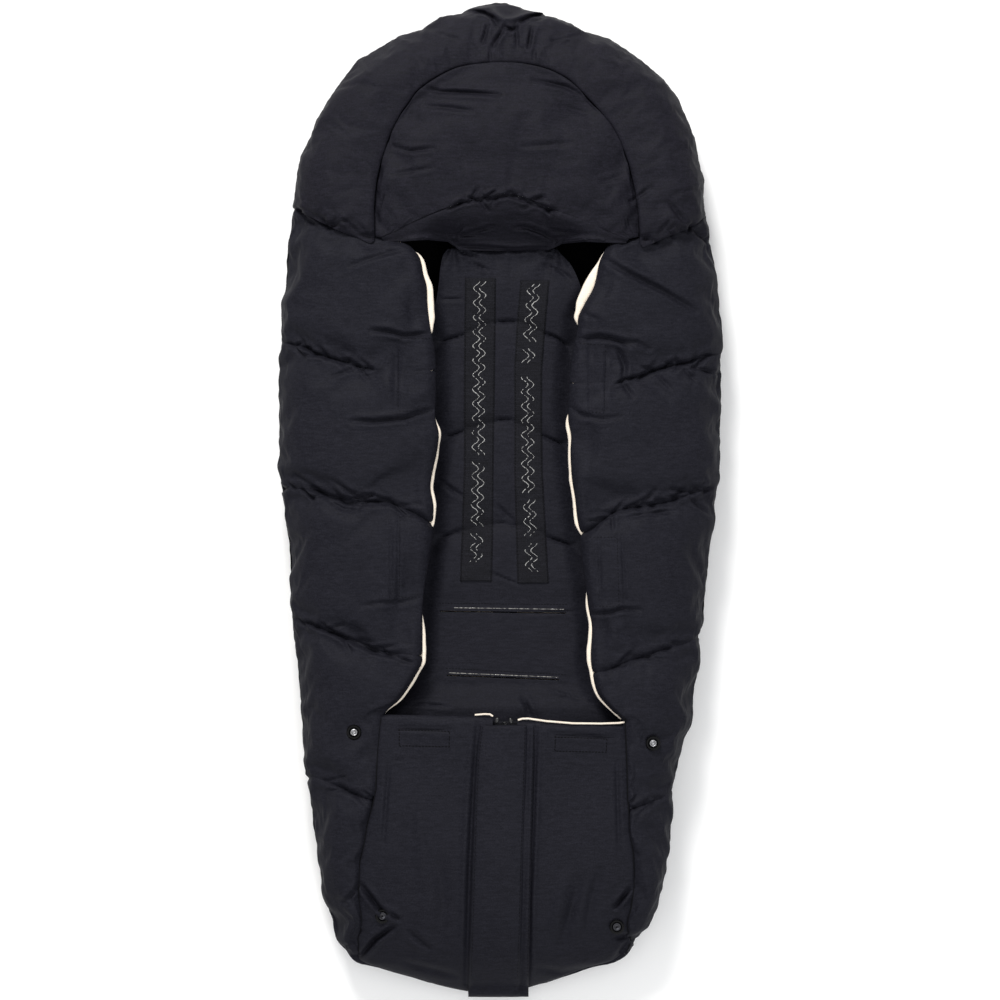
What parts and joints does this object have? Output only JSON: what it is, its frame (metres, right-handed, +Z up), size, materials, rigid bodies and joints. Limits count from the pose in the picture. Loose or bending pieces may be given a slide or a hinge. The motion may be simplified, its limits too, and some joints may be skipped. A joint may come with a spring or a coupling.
{
  "type": "stroller footmuff",
  "caption": "Padded footmuff for a stroller, lying face down: quilted side wings round a recessed back panel, hood, harness slots, zip and fold-up foot end.",
  "frame": {"origin": "on the floor under the middle of the lying footmuff", "axes": "+Z up, away from the child's side; +Y towards the hood; +X to the right as seen from above"},
  "size_m": [0.4436, 0.996, 0.0998],
  "materials": {
    "shell": "tightly woven black polyamide over wadding, soft satin sheen",
    "hood_shell": "the same black polyamide, gathered",
    "lining": "cream brushed cotton jersey",
    "tape": "black woven tape and ribbed elastic",
    "silicone": "black binding with a thin silicone line",
    "gunmetal": "black painted metal",
    "nickel": "nickel plated"
  },
  "bodies": {
    "root": {"hood_rim": "hood_shell", "hood_arch_panel": "hood_shell", "hood_patch": "hood_shell", "gathered_yoke": "hood_shell", "back_panel": "shell", "back_lining": "lining", "upper_slot_binding": "silicone", "lower_slot_binding": "silicone", "back_placket": "shell", "left_grip_strip": "tape", "left_side_panel": "shell", "left_panel_lining": "lining", "front_cover_left": "shell", "front_lining_left": "lining", "left_foot_panel": "shell", "left_foot_tab": "tape", "back_left_zip_tape": "tape", "front_left_zip_tape": "tape", "upper_left_snap_ring": "gunmetal", "upper_left_snap_socket": "nickel", "right_grip_strip": "tape", "right_side_panel": "shell", "right_panel_lining": "lining", "front_cover_right": "shell", "front_lining_right": "lining", "right_foot_panel": "shell", "right_foot_tab": "tape", "back_right_zip_tape": "tape", "front_right_zip_tape": "tape", "upper_right_snap_ring": "gunmetal", "upper_right_snap_socket": "nickel"},
    "left_wing": {"left_wing": "shell", "left_wing_lining": "lining", "left_upper_hook_tape": "tape", "left_lower_hook_tape": "tape"},
    "right_wing": {"right_wing": "shell", "right_wing_lining": "lining", "right_upper_hook_tape": "tape", "right_lower_hook_tape": "tape"},
    "foot_end": {"foot_placket": "shell", "foot_cover_left": "shell", "left_foot_side_panel": "shell", "left_foot_end_panel": "shell", "foot_left_zip_tape": "tape", "lower_left_snap_ring": "gunmetal", "lower_left_snap_stud": "nickel", "foot_cover_right": "shell", "right_foot_side_panel": "shell", "right_foot_end_panel": "shell", "foot_right_zip_tape": "tape", "lower_right_snap_ring": "gunmetal", "lower_right_snap_stud": "nickel"},
    "slider": {"zip_slider": "gunmetal"},
    "puller": {"zip_puller": "gunmetal"}
  },
  "joints": [
    {"name": "left_wing_open", "type": "hinge", "parent": "root", "child": "left_wing", "pos_m": [-0.222, 0, 0.052], "axis": [0, -1, 0], "range_deg": [0, 60]},
    {"name": "right_wing_open", "type": "hinge", "parent": "root", "child": "right_wing", "pos_m": [0.222, 0, 0.052], "axis": [0, 1, 0], "range_deg": [0, 60]},
    {"name": "foot_fold", "type": "hinge", "parent": "root", "child": "foot_end", "pos_m": [0, -0.33, 0.104], "axis": [-1, 0, 0], "range_deg": [0, 170]},
    {"name": "zip_slide", "type": "slide", "parent": "root", "child": "slider", "axis": [0, -1, 0], "range_m": [0, 0.4]},
    {"name": "puller_swing", "type": "hinge", "parent": "slider", "child": "puller", "pos_m": [0.005, 0.152, 0.0111], "axis": [1, 0, 0], "range_deg": [0, 170]}
  ]
}
